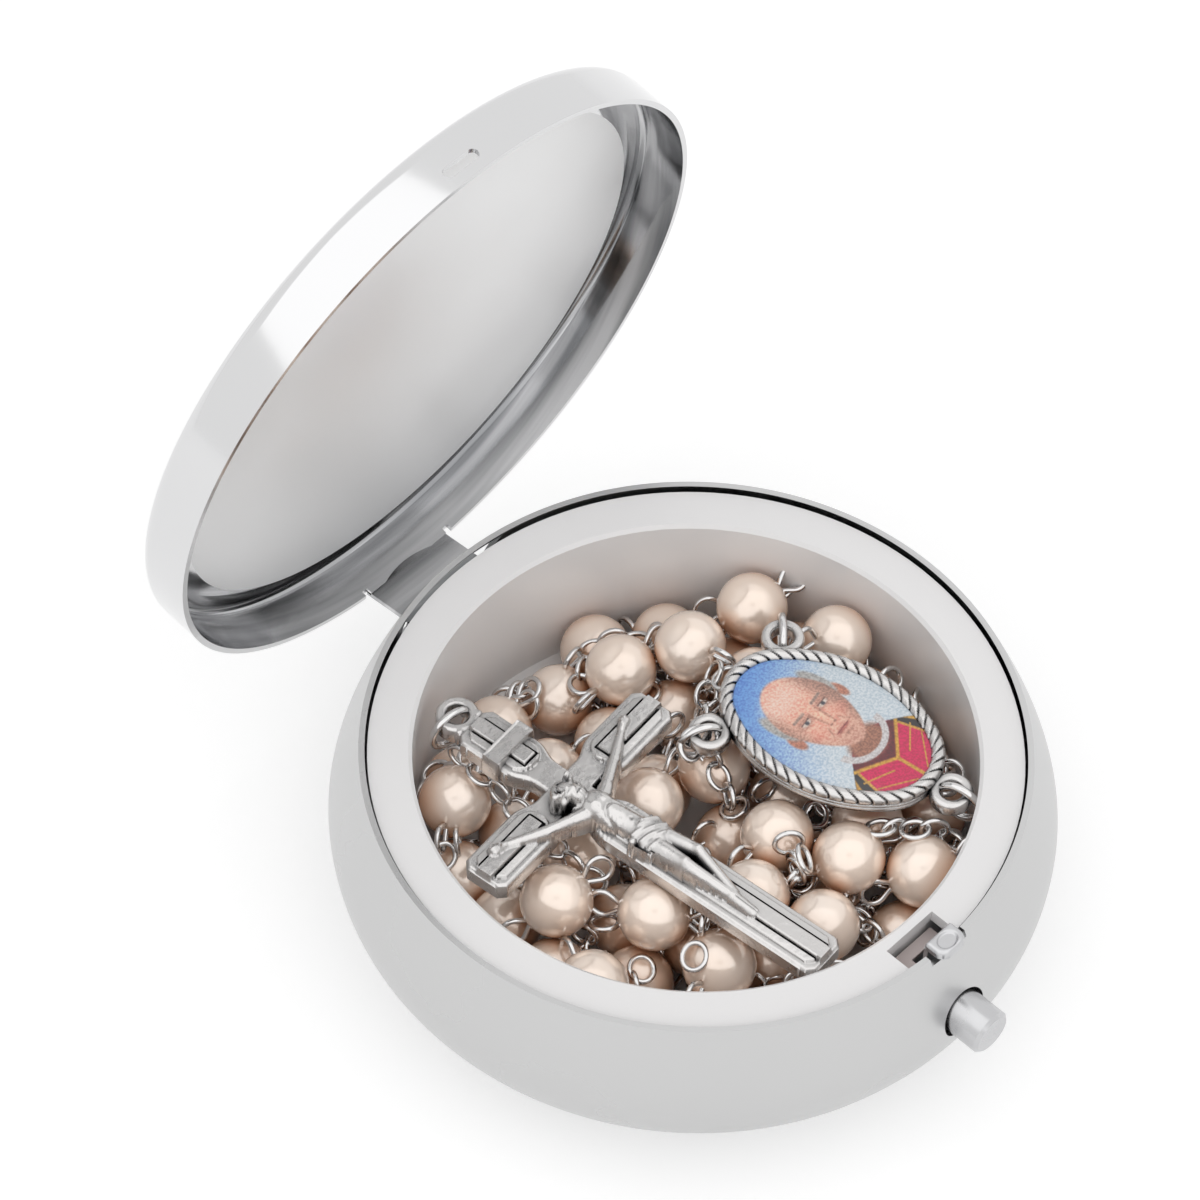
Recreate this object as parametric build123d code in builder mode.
from build123d import *
from math import acos, atan2, cos, degrees, hypot, sin, sqrt
import os

# Round metal rosary box: a spun bowl with a plastic liner, a hinged lid and a push-button catch,
# with its rosary lying inside.  Millimetres, +Z up.  The origin is the middle of the underside,
# the button faces -Y and the hinge is at +Y.  The lid is drawn open, resting on its stop.

# ---- Bowl: spun sheet metal ----
SHEET = 0.5                 # thickness of the bowl and the lid
BODY_HEIGHT = 18.0          # underside to rim
RIM_RADIUS = 27.1           # outside, at the rim
BELLY_BULGE = 2.5           # widest girth beyond the rim
GIRTH_DROP = 8.1            # widest girth below the rim
FOOT_SET_IN = 10.85         # edge of the flat underside inside the widest girth
SHOULDER_RISE = 0.3         # share of the upper wall that leaves the girth upright
OUTER_TAPER_COUNTS = (5, 2)     # short tapers in the outer skin, below and above the girth
INNER_TAPER_COUNTS = (3, 1)     # the same in the inner skin

# ---- Liner: moulded plastic cup with a flat ring round its mouth ----
LINER_DROP = 0.5            # ring's top below the rim
LINER_GAP = 0.2             # between the ring and the bowl
RING_WIDTH = 3.6            # from the mouth to the ring's edge
RING_THICKNESS = 1.2
CUP_WALL = 0.8
FLOOR_THICKNESS = 1.0
MOUTH_CHAMFER = 0.3
RIB_COUNT = 6               # short radial ribs that the cup stands on
RIB_INNER_RADIUS = 9.0
RIB_LENGTH = 8.0
RIB_THICKNESS = 1.2
RIB_HEIGHT = 2.0

# ---- Lid: spun sheet metal with a sunken middle ----
LID_CLEARANCE = 0.5         # between the bowl's rim and the skirt
LID_OVERLAP = 1.1           # skirt's edge below the rim when shut
LID_HEIGHT = 5.0            # skirt's edge to the top of the raised border
LID_SHOULDER = 1.3          # round between skirt and border, outside
SHOULDER_TAPER_COUNT = 2    # short tapers in that round
LID_BORDER = 3.3            # from the skirt's inside to the sunken middle
PANEL_SINK = 1.1            # middle below the border
LID_OPEN_ANGLE = 82.5

# ---- Hinge ----
PIVOT_SET_OUT = 0.25        # hinge axis beyond the rim
PIVOT_DROP = 6.36           # below the rim
PIN_RADIUS = 0.6
HINGE_PLAY = 0.05           # radial, between pin and knuckle
BORE_PLAY = 0.02            # radial, between pin and bracket ears
TONGUE_WIDTH = 8.8
NOTCH_WIDTH = 0.6           # relief notches beside the tongue
NOTCH_DEPTH = 0.5
WINDOW_CLEARANCE = 0.4      # bowl's window beyond the tongue, each side
WINDOW_TOP_DROP = 1.1       # window's top below the rim
WINDOW_FOOT_DROP = 8.0      # window's sill below the rim
EAR_THICKNESS = 0.7
EAR_GAP = 0.2               # between tongue and ears
EAR_RADIUS = 1.0
STRAP_THICKNESS = 0.6
STRAP_LENGTH = 5.1          # bracket's strap, top to bottom
STRAP_SILL_GAP = 0.4        # bracket's upper edge below the window's sill

# ---- Catch and push button ----
STRIP_WIDTH = 3.0
STRIP_THICKNESS = 0.4
STRIP_GAP = 0.3             # between the strip and the rim's inside
STRIP_TAIL = 5.5            # strip below the button's axis
CATCH_REACH = 1.65          # catch's tip beyond the strip's outer face
CATCH_THICKNESS = 0.8
CATCH_LIFT = 0.35           # middle of the catch above the rim
CATCH_ROUND = 0.55          # of the tip that the lid's edge slides over
CATCH_PLAY = 0.1            # above and below the catch in the lid's slot
SLOT_LENGTH = 3.6
RIM_NOTCH_WIDTH = 4.0
RIM_NOTCH_DEPTH = 0.6
POCKET_WIDTH = 5.3          # in the liner's ring, for the strip's travel
POCKET_SHIFT = -0.85        # pocket's middle along X
POCKET_LEDGE = 0.2          # ring left between the cup's wall and the pocket
BUTTON_RADIUS = 1.95
BUTTON_DROP = 7.0           # button's axis below the rim
BUTTON_PROUD = 2.8          # button's face beyond the widest girth
BUTTON_CHAMFER = 0.3
BUTTON_HOLE_PLAY = 0.3      # radial
RIVET_RADIUS = 0.8
RIVET_HEAD_RADIUS = 1.4
RIVET_HEAD = 0.45

# ---- Rosary ----
BEAD_RADIUS = 3.0
TOUCH_GAP = 0.06            # left between beads that lie against each other
LINK_LENGTH = 5.6           # most between one bead and the next along the strand
SETTLE_STEPS = 500
SINK_PER_STEP = 0.02

WALL_GAP = 0.5              # from the crucifix's ends and the medal's foot to the liner's wall
LAY_GAP = 0.1               # under a flat piece that lies on the beads
CRUCIFIX_TURN = 5.5         # of its long bar from the Y axis
CROSS_THICKNESS = 1.8
CROSS_STEP = 0.3            # height of the raised face
CROSS_BORDER = 0.5          # width of the rim round the raised face
BAR_WIDTH = 4.2
NECK_WIDTH = 2.8
NECK_LENGTH = 3.0           # crossing to the inner end of each short bar
TOP_LENGTH = 10.2
ARM_LENGTH = 11.2
FOOT_LENGTH = 25.9
CORNER_CHAMFER = 0.6        # outer corners of the bars
LOBE_ROUND = 0.45           # share of a bar's width that rounds each corner of its inner end
INLAY_WIDTH = 1.5
INLAY_HEIGHT = 0.2
TITULUS_AT = 6.4            # scroll's middle beyond the crossing
TITULUS_WIDTH = 1.9
TITULUS_PROUD = 0.3         # scroll beyond the bar, each side and above
LOOP_RADIUS = 1.8
LOOP_HOLE = 0.9
LOOP_THICKNESS = 1.4
LIMB_SIDES = 6              # flat sides of each limb of its figure

# Limbs of the figure on the crucifix, in its plane and as shares of FIGURE_SIZE: X, Y and height of
# each joint above the bar's face, and the radius there.
FIGURE_SIZE = 20.0          # from the crown of the head to under the toes
FIGURE_LIMBS = {
    "trunk": [(-0.015, -0.12, 0.025, 0.0725), (-0.01, -0.25, 0.0225, 0.06), (0.0, -0.36, 0.0225, 0.0575)],
    "loincloth": [(0.0, -0.345, 0.02, 0.0725), (-0.005, -0.47, 0.02, 0.065)],
    "left_leg": [(-0.03, -0.45, 0.02, 0.0425), (-0.035, -0.61, 0.04, 0.035), (-0.02, -0.83, 0.01, 0.0225)],
    "right_leg": [(0.03, -0.45, 0.02, 0.0425), (0.045, -0.61, 0.035, 0.0325), (-0.005, -0.83, 0.015, 0.0225)],
    "feet": [(-0.015, -0.815, 0.01, 0.0275), (-0.02, -0.945, 0.005, 0.02)],
    "left_arm": [(-0.06, -0.13, 0.025, 0.03), (-0.23, -0.05, 0.015, 0.0225), (-0.4, 0.025, 0.01, 0.0175)],
    "right_arm": [(0.04, -0.13, 0.025, 0.03), (0.21, -0.05, 0.015, 0.0225), (0.38, 0.025, 0.01, 0.0175)],
    "head": [(-0.05, -0.11, 0.03, 0.0375), (-0.065, -0.07, 0.04, 0.0525), (-0.07, -0.015, 0.035, 0.035)],
}

MEDAL_TURN = 11.4           # of its long axis from the Y axis
MEDAL_BEARING = -55.0       # of the end of its lower eye, from the X axis
MEDAL_LENGTH = 19.6
MEDAL_WIDTH = 13.3
MEDAL_END_RADIUS = 5.0      # of the arcs at the ends of the oval
MEDAL_BORDER = 1.1
MEDAL_EYE_X = 5.7           # eyes that carry the loop of the strand
MEDAL_EYE_Y = 8.1
EYE_SINK = 0.35             # how far an eye is sunk into the edge
MEDAL_THICKNESS = 2.0
PICTURE_SINK = 0.35         # picture's edge below the border
PICTURE_GAP = 0.05
PICTURE_THICKNESS = 0.8

# Rough places of the bead middles along the strand: X, Y and height above the liner's floor.
DECADES = [
    [(16.1, 9.6, 7.5), (12.2, 13.7, 5.5), (7.5, 17.6, 3.5), (5.4, 14, 7.5), (2, 16.4, 3),
     (-4.5, 17, 3), (-10, 15.5, 3), (-13.3, 13.5, 8.5), (-16.5, 10, 3), (-11.1, 10.7, 4.5)],
    [(3, 10.5, 3), (0.5, 5, 3), (-6, 5, 3), (-8.4, 2.3, 6.5), (-16.6, 4.3, 3),
     (-16.9, -0.6, 3.5), (-9.8, -2.2, 5.5), (-14.4, -6.4, 3.2), (-16.8, -6.5, 8.5), (-14.5, -12.5, 3)],
    [(-8, -9, 3), (-9.5, -15.5, 3), (-4, -14, 3), (-3, -18.9, 3), (-1.4, -16.2, 6.5),
     (3.5, -18, 5.5), (2.5, -13.5, 3.5), (4, -9.5, 3), (2.5, -9, 8.5), (-2, -8, 3)],
    [(2.5, -3.5, 3.5), (8, -3.5, 3), (9, -9.9, 6.5), (10, -15.5, 3), (15, -12.5, 3),
     (13, -10.5, 7), (14, -6.5, 3), (18, -7.5, 3), (15, -4, 7.5), (18.8, -1.5, 3)],
    [(19, 3.8, 7.5), (12.3, 5, 6.5), (14, 8, 3), (13, 0, 3), (9.5, -2, 7),
     (7.5, 3.5, 3), (8.8, 8.1, 4.5), (10.3, 9.8, 10), (3.5, 1.1, 6.5), (-2.9, 2.2, 8.5)],
]
PATER_BEADS = [(-3.5, 11, 3), (-10.1, -11.6, 7.5), (-2.3, -1.5, 4.5), (18, 5, 3)]
PENDANT_BEADS = [(7.8, -17.4, 9.5), (2, -14.9, 10.5), (-2.3, -11.3, 8.5), (-10.7, -5.9, 8),
                 (-15.6, 1.6, 8.2)]

# ---- Sizes that follow ----
BELLY_RADIUS = RIM_RADIUS + BELLY_BULGE
BELLY_HEIGHT = BODY_HEIGHT - GIRTH_DROP
FOOT_RADIUS = BELLY_RADIUS - FOOT_SET_IN
RIM_INSIDE = RIM_RADIUS - SHEET
RING_RADIUS = RIM_INSIDE - LINER_GAP
MOUTH_RADIUS = RING_RADIUS - RING_WIDTH
LINER_TOP = BODY_HEIGHT - LINER_DROP
CUP_FLOOR = SHEET + RIB_HEIGHT + FLOOR_THICKNESS
LID_INSIDE = RIM_RADIUS + LID_CLEARANCE
LID_RADIUS = LID_INSIDE + SHEET
LID_EDGE = BODY_HEIGHT - LID_OVERLAP
LID_TOP = LID_EDGE + LID_HEIGHT
PANEL_RADIUS = LID_INSIDE - LID_BORDER
PIVOT_Y = RIM_RADIUS + PIVOT_SET_OUT
PIVOT_HEIGHT = BODY_HEIGHT - PIVOT_DROP
KNUCKLE_BORE = PIN_RADIUS + HINGE_PLAY
KNUCKLE_RADIUS = KNUCKLE_BORE + SHEET
EAR_INSIDE = TONGUE_WIDTH / 2 + EAR_GAP
STRIP_FACE = RIM_INSIDE - STRIP_GAP        # outer face of the catch strip
CATCH_HEIGHT = BODY_HEIGHT + CATCH_LIFT
BUTTON_HEIGHT = BODY_HEIGHT - BUTTON_DROP
BUTTON_FACE = BELLY_RADIUS + BUTTON_PROUD
HINGE_AXIS = Axis((0, PIVOT_Y, PIVOT_HEIGHT), (1, 0, 0))

os.makedirs("parts", exist_ok=True)


def save(piece, name):
    """Label a finished piece and write it as its own node."""
    piece.label = name
    export_step(piece, f"parts/{name}.step")
    print(f"{name}: {len(piece.solids())} solid(s), {piece.volume:.1f} mm3")


def tapers(curve, count):
    """Points along a curve of a spun section, which is turned as `count` short tapers."""
    return [curve @ (k / count) for k in range(count + 1)]


# ---------------------------------------------------------------- bowl
def bowl_form(inset, counts):
    """Solid filling the bowl's space, `inset` inside its outer skin and open to the rim."""
    girth = (BELLY_RADIUS - inset, BELLY_HEIGHT)
    rim = (RIM_RADIUS - inset, BODY_HEIGHT)
    knee = (BELLY_RADIUS - inset, BELLY_HEIGHT + SHOULDER_RISE * (BODY_HEIGHT - BELLY_HEIGHT))
    with BuildPart() as form:
        with BuildSketch(Plane.XZ):
            with BuildLine():
                turn = EllipticalCenterArc(
                    (FOOT_RADIUS, BELLY_HEIGHT),
                    BELLY_RADIUS - FOOT_RADIUS - inset,
                    BELLY_HEIGHT - inset,
                    start_angle=-90,
                    arc_size=90,
                    mode=Mode.PRIVATE,
                )
                wall = Bezier(girth, knee, rim, mode=Mode.PRIVATE)
                section = tapers(turn, counts[0]) + tapers(wall, counts[1])[1:]
                Polyline(*section, (0, BODY_HEIGHT), (0, inset), close=True)
            make_face()
        revolve(axis=Axis.Z)
    return form.part


with BuildPart() as bowl:
    add(bowl_form(0, OUTER_TAPER_COUNTS))
    add(bowl_form(SHEET, INNER_TAPER_COUNTS), mode=Mode.SUBTRACT)
    window_width = TONGUE_WIDTH + 2 * WINDOW_CLEARANCE
    with BuildSketch(Plane.XZ.offset(-PIVOT_Y)):
        with Locations((0, BODY_HEIGHT - WINDOW_TOP_DROP)):
            Rectangle(window_width, WINDOW_FOOT_DROP - WINDOW_TOP_DROP, align=(Align.CENTER, Align.MAX))
    extrude(amount=BELLY_RADIUS / 4, both=True, mode=Mode.SUBTRACT)
    with BuildSketch(Plane.XZ):
        with Locations((0, BUTTON_HEIGHT)):
            Circle(BUTTON_RADIUS + BUTTON_HOLE_PLAY)
        with Locations((0, BODY_HEIGHT)):
            Rectangle(RIM_NOTCH_WIDTH, 2 * RIM_NOTCH_DEPTH)
    extrude(amount=BELLY_RADIUS, mode=Mode.SUBTRACT)
save(bowl.part, "bowl_shell")

# ---------------------------------------------------------------- liner
with BuildPart() as liner:
    with BuildSketch(Plane.XZ) as liner_section:
        with BuildLine():
            Polyline(
                (0, CUP_FLOOR),
                (MOUTH_RADIUS, CUP_FLOOR),
                (MOUTH_RADIUS, LINER_TOP),
                (RING_RADIUS, LINER_TOP),
                (RING_RADIUS, LINER_TOP - RING_THICKNESS),
                (MOUTH_RADIUS + CUP_WALL, LINER_TOP - RING_THICKNESS),
                (MOUTH_RADIUS + CUP_WALL, CUP_FLOOR - FLOOR_THICKNESS),
                (0, CUP_FLOOR - FLOOR_THICKNESS),
                close=True,
            )
        make_face()
        lip = liner_section.vertices().sort_by_distance(Vector(MOUTH_RADIUS, LINER_TOP))[:1]
        chamfer(lip, MOUTH_CHAMFER)
    revolve(axis=Axis.Z)
    with BuildSketch(Plane.XY.offset(SHEET)):
        with PolarLocations(RIB_INNER_RADIUS, RIB_COUNT):
            Rectangle(RIB_LENGTH, RIB_THICKNESS, align=(Align.MIN, Align.CENTER))
    extrude(amount=RIB_HEIGHT)
    with BuildSketch(Plane.XY.offset(LINER_TOP)):
        with Locations((POCKET_SHIFT, -MOUTH_RADIUS - CUP_WALL - POCKET_LEDGE)):
            Rectangle(POCKET_WIDTH, BELLY_RADIUS - MOUTH_RADIUS, align=(Align.CENTER, Align.MAX))
    extrude(amount=-RING_THICKNESS, mode=Mode.SUBTRACT)
save(liner.part, "liner")

# ---------------------------------------------------------------- hinge
with BuildPart() as hinge_bracket:
    add(bowl_form(SHEET, INNER_TAPER_COUNTS))
    add(bowl_form(SHEET + STRAP_THICKNESS, INNER_TAPER_COUNTS), mode=Mode.SUBTRACT)
    strap_top = BODY_HEIGHT - WINDOW_FOOT_DROP - STRAP_SILL_GAP
    strap_foot = strap_top - STRAP_LENGTH
    with BuildSketch(Plane.XZ):
        with Locations((0, strap_foot)):
            Rectangle(2 * (EAR_INSIDE + EAR_THICKNESS), STRAP_LENGTH, align=(Align.CENTER, Align.MIN))
    extrude(amount=-BODY_HEIGHT * 2, mode=Mode.INTERSECT)
    ear_root = BELLY_RADIUS - SHEET - STRAP_THICKNESS
    with BuildSketch(Plane.YZ.offset(EAR_INSIDE)) as ear_outline:
        with BuildLine():
            Polyline(
                (PIVOT_Y - EAR_RADIUS, PIVOT_HEIGHT),
                (PIVOT_Y - EAR_RADIUS, (strap_top + strap_foot) / 2),
                (ear_root - 3 * STRAP_THICKNESS, strap_foot + STRAP_THICKNESS),
                (ear_root - 3 * STRAP_THICKNESS, strap_foot + 2 * STRAP_THICKNESS),
                (ear_root, strap_top),
                (PIVOT_Y + EAR_RADIUS, PIVOT_HEIGHT),
                close=True,
            )
        make_face()
        with Locations((PIVOT_Y, PIVOT_HEIGHT)):
            Circle(EAR_RADIUS)
            Circle(PIN_RADIUS + BORE_PLAY, mode=Mode.SUBTRACT)
    ear = extrude(amount=EAR_THICKNESS)
    mirror(ear, about=Plane.YZ)
    add(bowl_form(SHEET, INNER_TAPER_COUNTS), mode=Mode.INTERSECT)
save(hinge_bracket.part, "hinge_bracket")

with BuildPart() as hinge_pin:
    with BuildSketch(Plane.YZ):
        with Locations((PIVOT_Y, PIVOT_HEIGHT)):
            Circle(PIN_RADIUS)
    extrude(amount=EAR_INSIDE + EAR_THICKNESS, both=True)
save(hinge_pin.part, "hinge_pin")


# ---------------------------------------------------------------- lid
with BuildPart() as lid:
    with BuildSketch(Plane.XZ):
        step_outside = PANEL_RADIUS + SHEET
        shoulder_middle = (LID_RADIUS - LID_SHOULDER, LID_TOP - LID_SHOULDER)
        with BuildLine():
            outer_round = CenterArc(shoulder_middle, LID_SHOULDER, 0, 90, mode=Mode.PRIVATE)
            inner_round = CenterArc(shoulder_middle, LID_SHOULDER - SHEET, 90, -90, mode=Mode.PRIVATE)
            Polyline(
                (LID_INSIDE, LID_EDGE),
                (LID_RADIUS, LID_EDGE),
                *tapers(outer_round, SHOULDER_TAPER_COUNT),
                (step_outside + PANEL_SINK, LID_TOP),
                (step_outside, LID_TOP - PANEL_SINK),
                (0, LID_TOP - PANEL_SINK),
                (0, LID_TOP - PANEL_SINK - SHEET),
                (PANEL_RADIUS, LID_TOP - PANEL_SINK - SHEET),
                (step_outside + PANEL_SINK, LID_TOP - SHEET),
                *tapers(inner_round, SHOULDER_TAPER_COUNT),
                close=True,
            )
        make_face()
    revolve(axis=Axis.Z)
    with BuildSketch(Plane.XZ):
        with Locations((0, CATCH_HEIGHT)):
            SlotOverall(SLOT_LENGTH, CATCH_THICKNESS + 2 * CATCH_PLAY)
    extrude(amount=LID_RADIUS * 2, mode=Mode.SUBTRACT)
    notch_middle = TONGUE_WIDTH / 2 + NOTCH_WIDTH / 2
    with BuildSketch(Plane.XZ):
        with Locations((notch_middle, LID_EDGE), (-notch_middle, LID_EDGE)):
            Rectangle(NOTCH_WIDTH, 2 * NOTCH_DEPTH)
    extrude(amount=-LID_RADIUS * 2, mode=Mode.SUBTRACT)
    # The tongue runs down from the skirt's edge, past the inner side of the pin, and curls under it.
    tongue_top = (LID_RADIUS - SHEET / 2, LID_EDGE + NOTCH_DEPTH)
    curl = KNUCKLE_BORE + SHEET / 2
    rise = hypot(tongue_top[0] - PIVOT_Y, tongue_top[1] - PIVOT_HEIGHT)
    lean = atan2(tongue_top[1] - PIVOT_HEIGHT, tongue_top[0] - PIVOT_Y) + acos(curl / rise)
    tangent_point = (PIVOT_Y + curl * cos(lean), PIVOT_HEIGHT + curl * sin(lean))
    with BuildSketch(Plane.YZ.offset(-TONGUE_WIDTH / 2)):
        with BuildLine() as tongue_line:
            Line(tongue_top, tangent_point)
        trace(line_width=SHEET)
        with Locations((PIVOT_Y, PIVOT_HEIGHT)):
            Circle(KNUCKLE_RADIUS)
            Circle(KNUCKLE_BORE, mode=Mode.SUBTRACT)
    extrude(amount=TONGUE_WIDTH)
save(lid.part.rotate(HINGE_AXIS, -LID_OPEN_ANGLE), "lid_shell")

# ---------------------------------------------------------------- catch and button
with BuildPart() as catch_strip:
    with BuildSketch(Plane.YZ) as strip_outline:
        catch_top = CATCH_HEIGHT + CATCH_THICKNESS / 2
        strip_height = catch_top - BUTTON_HEIGHT + STRIP_TAIL
        with Locations((-STRIP_FACE, catch_top)):
            Rectangle(STRIP_THICKNESS, strip_height, align=(Align.MIN, Align.MAX))
            Rectangle(CATCH_REACH, CATCH_THICKNESS, align=(Align.MAX, Align.MAX))
        tip = strip_outline.vertices().sort_by_distance(Vector(-STRIP_FACE - CATCH_REACH, catch_top))[:1]
        fillet(tip, CATCH_ROUND)
    extrude(amount=STRIP_WIDTH / 2, both=True)
    with BuildSketch(Plane.XZ):
        with Locations((0, BUTTON_HEIGHT)):
            Circle(RIVET_RADIUS)
    extrude(amount=BELLY_RADIUS, mode=Mode.SUBTRACT)
save(catch_strip.part, "catch_strip")

with BuildPart() as push_button:
    stem_start = STRIP_FACE - STRIP_THICKNESS
    with BuildSketch(Plane.XZ.offset(STRIP_FACE)):
        with Locations((0, BUTTON_HEIGHT)):
            Circle(BUTTON_RADIUS)
    extrude(amount=BUTTON_FACE - STRIP_FACE)
    face_edge = push_button.edges().group_by(Axis.Y)[0]
    chamfer(face_edge, BUTTON_CHAMFER)
    with BuildSketch(Plane.XZ.offset(stem_start)):
        with Locations((0, BUTTON_HEIGHT)):
            Circle(RIVET_RADIUS)
    extrude(amount=STRIP_THICKNESS)
    with BuildSketch(Plane.XZ.offset(stem_start - RIVET_HEAD)):
        with Locations((0, BUTTON_HEIGHT)):
            Circle(RIVET_HEAD_RADIUS)
    extrude(amount=RIVET_HEAD)
save(push_button.part, "push_button")


# ---------------------------------------------------------------- rosary beads
def settle(strands):
    """Push the rough bead places of each strand apart inside the liner until no two overlap."""
    beads = [list(place) for strand in strands for place in strand]
    strand_of = [number for number, strand in enumerate(strands) for place in strand]
    width = 2 * BEAD_RADIUS + TOUCH_GAP
    link_reach = 2 * BEAD_RADIUS + LINK_LENGTH
    for step in range(SETTLE_STEPS):
        sink = SINK_PER_STEP if step < SETTLE_STEPS / 2 else 0.0
        for i, bead in enumerate(beads):
            bead[2] -= sink
            for j in range(i):
                other = beads[j]
                gap = [a - b for a, b in zip(bead, other)]
                far = hypot(*gap)
                slack = link_reach if i - j == 1 and strand_of[i] == strand_of[j] else far
                push = max(width - far, 0) + min(slack - far, 0)
                for k in range(3):
                    bead[k] += push * gap[k] / (2 * far)
                    other[k] -= push * gap[k] / (2 * far)
        for bead in beads:
            reach = MOUTH_RADIUS - BEAD_RADIUS - TOUCH_GAP
            pull = min(reach / hypot(bead[0], bead[1]), 1)
            bead[0] *= pull
            bead[1] *= pull
            bead[2] = max(bead[2], BEAD_RADIUS + TOUCH_GAP)
    return beads


strand = DECADES[0]
for pater, decade in zip(PATER_BEADS, DECADES[1:]):
    strand = strand + [pater] + decade
settled = settle([PENDANT_BEADS, strand])
bead_places = {}
for index, place in enumerate(settled):
    before = settled[max(index - 1, 0)]
    after = settled[min(index + 1, len(settled) - 1)]
    course = [b - a for a, b in zip(before, after)]
    middle = (place[0], place[1], CUP_FLOOR + place[2])
    bead_places[index] = Plane(origin=middle, z_dir=course)

# A bead is a ball in 26 flat facets: a cube, its edges cut until every corner lies on the bead's round.
facet = 2 * BEAD_RADIUS / sqrt(5 + 2 * sqrt(2))
with BuildPart() as bead:
    Box(facet * (1 + sqrt(2)), facet * (1 + sqrt(2)), facet * (1 + sqrt(2)))
    chamfer(bead.edges(), facet / sqrt(2))

pendant_count = len(PENDANT_BEADS)
pater_indices = [pendant_count + 11 * k + 10 for k in range(len(PATER_BEADS))]
groups = {"pendant_beads": range(pendant_count), "pater_beads": pater_indices}
for k in range(len(DECADES)):
    start = pendant_count + 11 * k
    groups[f"decade_{k + 1}_beads"] = range(start, start + 10)
for name, indices in groups.items():
    with BuildPart() as bead_group:
        with Locations([bead_places[index] for index in indices]):
            add(bead.part)
    save(bead_group.part, f"rosary_{name}")


# ---------------------------------------------------------------- crucifix
def bar_plate(start, end, trim=0.0):
    """Face of one bar along +Y, `trim` inside its edge, with a rounder end towards the crossing."""
    width = BAR_WIDTH - 2 * trim
    with BuildSketch() as plate:
        with Locations((0, start + trim)):
            Rectangle(width, end - start - 2 * trim, align=(Align.CENTER, Align.MIN))
        fillet(plate.vertices().group_by(Axis.Y)[0], width * LOBE_ROUND)
        chamfer(plate.vertices().group_by(Axis.Y)[-1], CORNER_CHAMFER)
    return plate.sketch


def lie_on(outline, places, tops=()):
    """Height above the liner's floor at which a flat piece of this outline lies on what is under it."""
    heights = list(tops)
    for x, y, height in places:
        beside = outline.distance_to(Vertex(x, y, 0))
        if beside < BEAD_RADIUS:
            heights.append(height + sqrt(BEAD_RADIUS**2 - beside**2))
    return max(heights) + LAY_GAP


def limb(plane, joints):
    """Tapering limb through its joints: X, Y, height above the plane and radius of each."""
    with BuildPart() as shape:
        for k, (start, end) in enumerate(zip(joints, joints[1:])):
            course = Vector(*end[:3]) - Vector(*start[:3])
            for joint in (start, end):
                with BuildSketch(plane * Plane(origin=joint[:3], x_dir=(0, 0, 1), z_dir=course)):
                    RegularPolygon(joint[3], LIMB_SIDES)
            loft()
    return shape.part


BARS = [(0, TOP_LENGTH), (90, ARM_LENGTH), (-90, ARM_LENGTH), (180, FOOT_LENGTH)]
ring_reach = TOP_LENGTH - EYE_SINK + 2 * LOOP_RADIUS
figure_limbs = [
    [[FIGURE_SIZE * share for share in joint] for joint in joints] for joints in FIGURE_LIMBS.values()
]
figure_rise = max(height + radius for joints in figure_limbs for x, y, height, radius in joints)
with BuildSketch() as cross_outline:
    for turn, length in BARS:
        add(bar_plate(0, length), rotation=turn)
    with Locations((0, ring_reach - LOOP_RADIUS)):
        Circle(LOOP_RADIUS)

# The crucifix lies along a chord of the cup, as near the wall as its length lets it.
half_length = (ring_reach + FOOT_LENGTH) / 2
chord_offset = sqrt(max((MOUTH_RADIUS - WALL_GAP) ** 2 - half_length**2, 0)) - BAR_WIDTH / 2
cross_spot = Pos(-chord_offset, FOOT_LENGTH - half_length)
cross_plan = Rotation(0, 0, CRUCIFIX_TURN) * cross_spot * cross_outline.sketch
cross_rest = lie_on(cross_plan, settled)
cross_plane = Plane(Rotation(0, 0, CRUCIFIX_TURN) * cross_spot).offset(CUP_FLOOR + cross_rest)
with BuildPart() as crucifix:
    with BuildSketch(cross_plane):
        with Locations((0, (TOP_LENGTH - FOOT_LENGTH) / 2)):
            Rectangle(NECK_WIDTH, TOP_LENGTH + FOOT_LENGTH - BAR_WIDTH)
        Rectangle(2 * ARM_LENGTH - BAR_WIDTH, NECK_WIDTH)
        for turn, length in BARS:
            add(bar_plate(NECK_LENGTH, length), rotation=turn)
    extrude(amount=CROSS_THICKNESS - CROSS_STEP)
    with BuildSketch(cross_plane.offset(CROSS_THICKNESS - CROSS_STEP)):
        for turn, length in BARS:
            add(bar_plate(NECK_LENGTH, length, CROSS_BORDER), rotation=turn)
    extrude(amount=CROSS_STEP)
    with BuildSketch(cross_plane.offset(CROSS_THICKNESS)):
        for turn, length in BARS[:3]:
            inlay = (length - NECK_LENGTH) / 2
            with Locations(Rotation(0, 0, turn) * Pos(0, length - CROSS_BORDER - inlay)):
                Rectangle(INLAY_WIDTH, inlay, align=(Align.CENTER, Align.MIN))
    extrude(amount=INLAY_HEIGHT)
    with BuildSketch(cross_plane):
        with Locations((0, TITULUS_AT)):
            Rectangle(BAR_WIDTH + 2 * TITULUS_PROUD, TITULUS_WIDTH)
    extrude(amount=CROSS_THICKNESS + TITULUS_PROUD)
    with BuildSketch(cross_plane):
        with Locations((0, ring_reach - LOOP_RADIUS)):
            Circle(LOOP_RADIUS)
    extrude(amount=LOOP_THICKNESS)
    with BuildSketch(cross_plane):
        with Locations((0, ring_reach - LOOP_RADIUS)):
            Circle(LOOP_HOLE)
    extrude(amount=LOOP_THICKNESS, mode=Mode.SUBTRACT)
    for joints in figure_limbs:
        add(limb(cross_plane.offset(CROSS_THICKNESS), joints))
save(crucifix.part, "rosary_crucifix")

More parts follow.
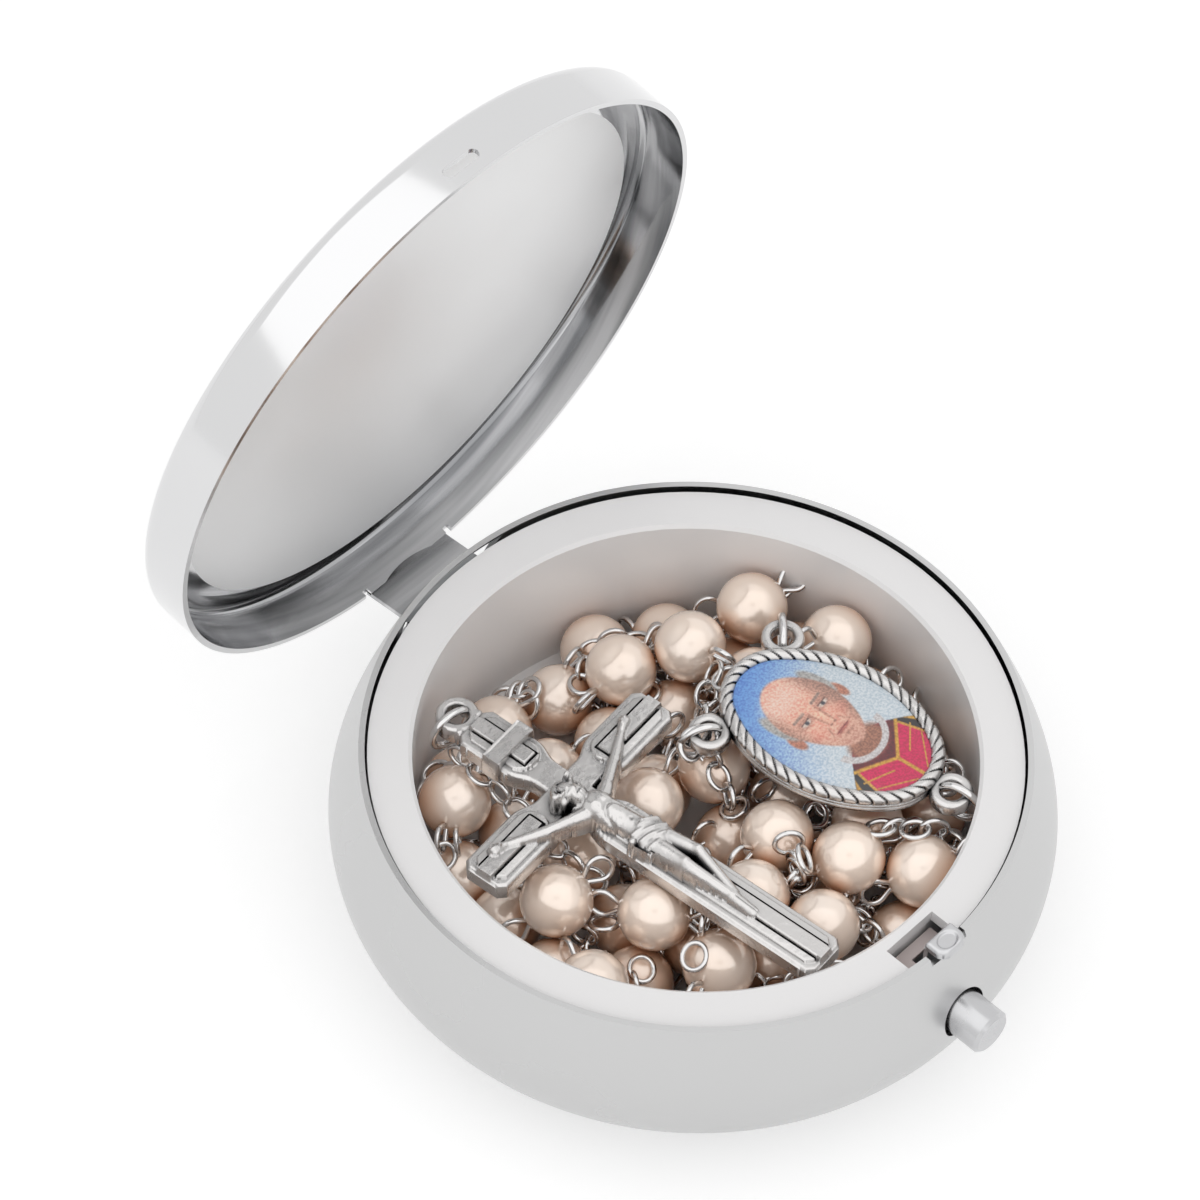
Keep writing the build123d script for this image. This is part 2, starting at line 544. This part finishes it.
# ---------------------------------------------------------------- centre medal
def oval(inset):
    """Face of the medal's oval, `inset` inside its edge: four tangent arcs, the long axis along Y."""
    reach = MEDAL_LENGTH / 2 - MEDAL_END_RADIUS
    spare = MEDAL_WIDTH / 2 - MEDAL_END_RADIUS
    shift = (reach**2 - spare**2) / (2 * spare)
    turn = degrees(atan2(reach, shift))
    side_radius = MEDAL_WIDTH / 2 + shift - inset
    end_radius = MEDAL_END_RADIUS - inset
    with BuildSketch() as face:
        with BuildLine():
            CenterArc((-shift, 0), side_radius, -turn, 2 * turn)
            CenterArc((0, reach), end_radius, turn, 180 - 2 * turn)
            CenterArc((shift, 0), side_radius, 180 - turn, 2 * turn)
            CenterArc((0, -reach), end_radius, 180 + turn, 180 - 2 * turn)
        make_face()
    return face.sketch


MEDAL_EYES = [
    (0, EYE_SINK - MEDAL_LENGTH / 2 - LOOP_RADIUS),
    (MEDAL_EYE_X, MEDAL_EYE_Y),
    (-MEDAL_EYE_X, MEDAL_EYE_Y),
]
with BuildSketch() as medal_outline:
    add(oval(0))
    with Locations(MEDAL_EYES):
        Circle(LOOP_RADIUS)

# The medal's lower eye lies at the wall, and the rest of it over the beads.
wall_spot = Rotation(0, 0, MEDAL_BEARING) * Pos(MOUTH_RADIUS - WALL_GAP, 0)
medal_spot = Pos(wall_spot.position) * Rotation(0, 0, MEDAL_TURN) * Pos(0, LOOP_RADIUS - MEDAL_EYES[0][1])
medal_plan = medal_spot * medal_outline.sketch
crossed = medal_plan.distance_to(cross_plan) < LAY_GAP
cross_tops = [cross_rest + CROSS_THICKNESS + figure_rise] if crossed else []
medal_rest = lie_on(medal_plan, settled, cross_tops)
medal_plane = Plane(medal_spot).offset(CUP_FLOOR + medal_rest)
with BuildPart() as medal_frame:
    with BuildSketch(medal_plane):
        add(oval(0))
    extrude(amount=MEDAL_THICKNESS)
    with BuildSketch(medal_plane):
        with Locations(MEDAL_EYES):
            Circle(LOOP_RADIUS)
    extrude(amount=LOOP_THICKNESS)
    with BuildSketch(medal_plane):
        with Locations(MEDAL_EYES):
            Circle(LOOP_HOLE)
    extrude(amount=LOOP_THICKNESS, mode=Mode.SUBTRACT)
    with BuildSketch(medal_plane.offset(MEDAL_THICKNESS)):
        add(oval(MEDAL_BORDER))
    extrude(amount=-PICTURE_THICKNESS - PICTURE_SINK, mode=Mode.SUBTRACT)
save(medal_frame.part, "rosary_medal_frame")

with BuildPart() as medal_picture:
    with BuildSketch(medal_plane.offset(MEDAL_THICKNESS - PICTURE_SINK)):
        add(oval(MEDAL_BORDER + PICTURE_GAP))
    extrude(amount=-PICTURE_THICKNESS)
save(medal_picture.part, "rosary_medal_picture")
print(f"crucifix at {cross_plane.origin}, medal at {medal_plane.origin}")
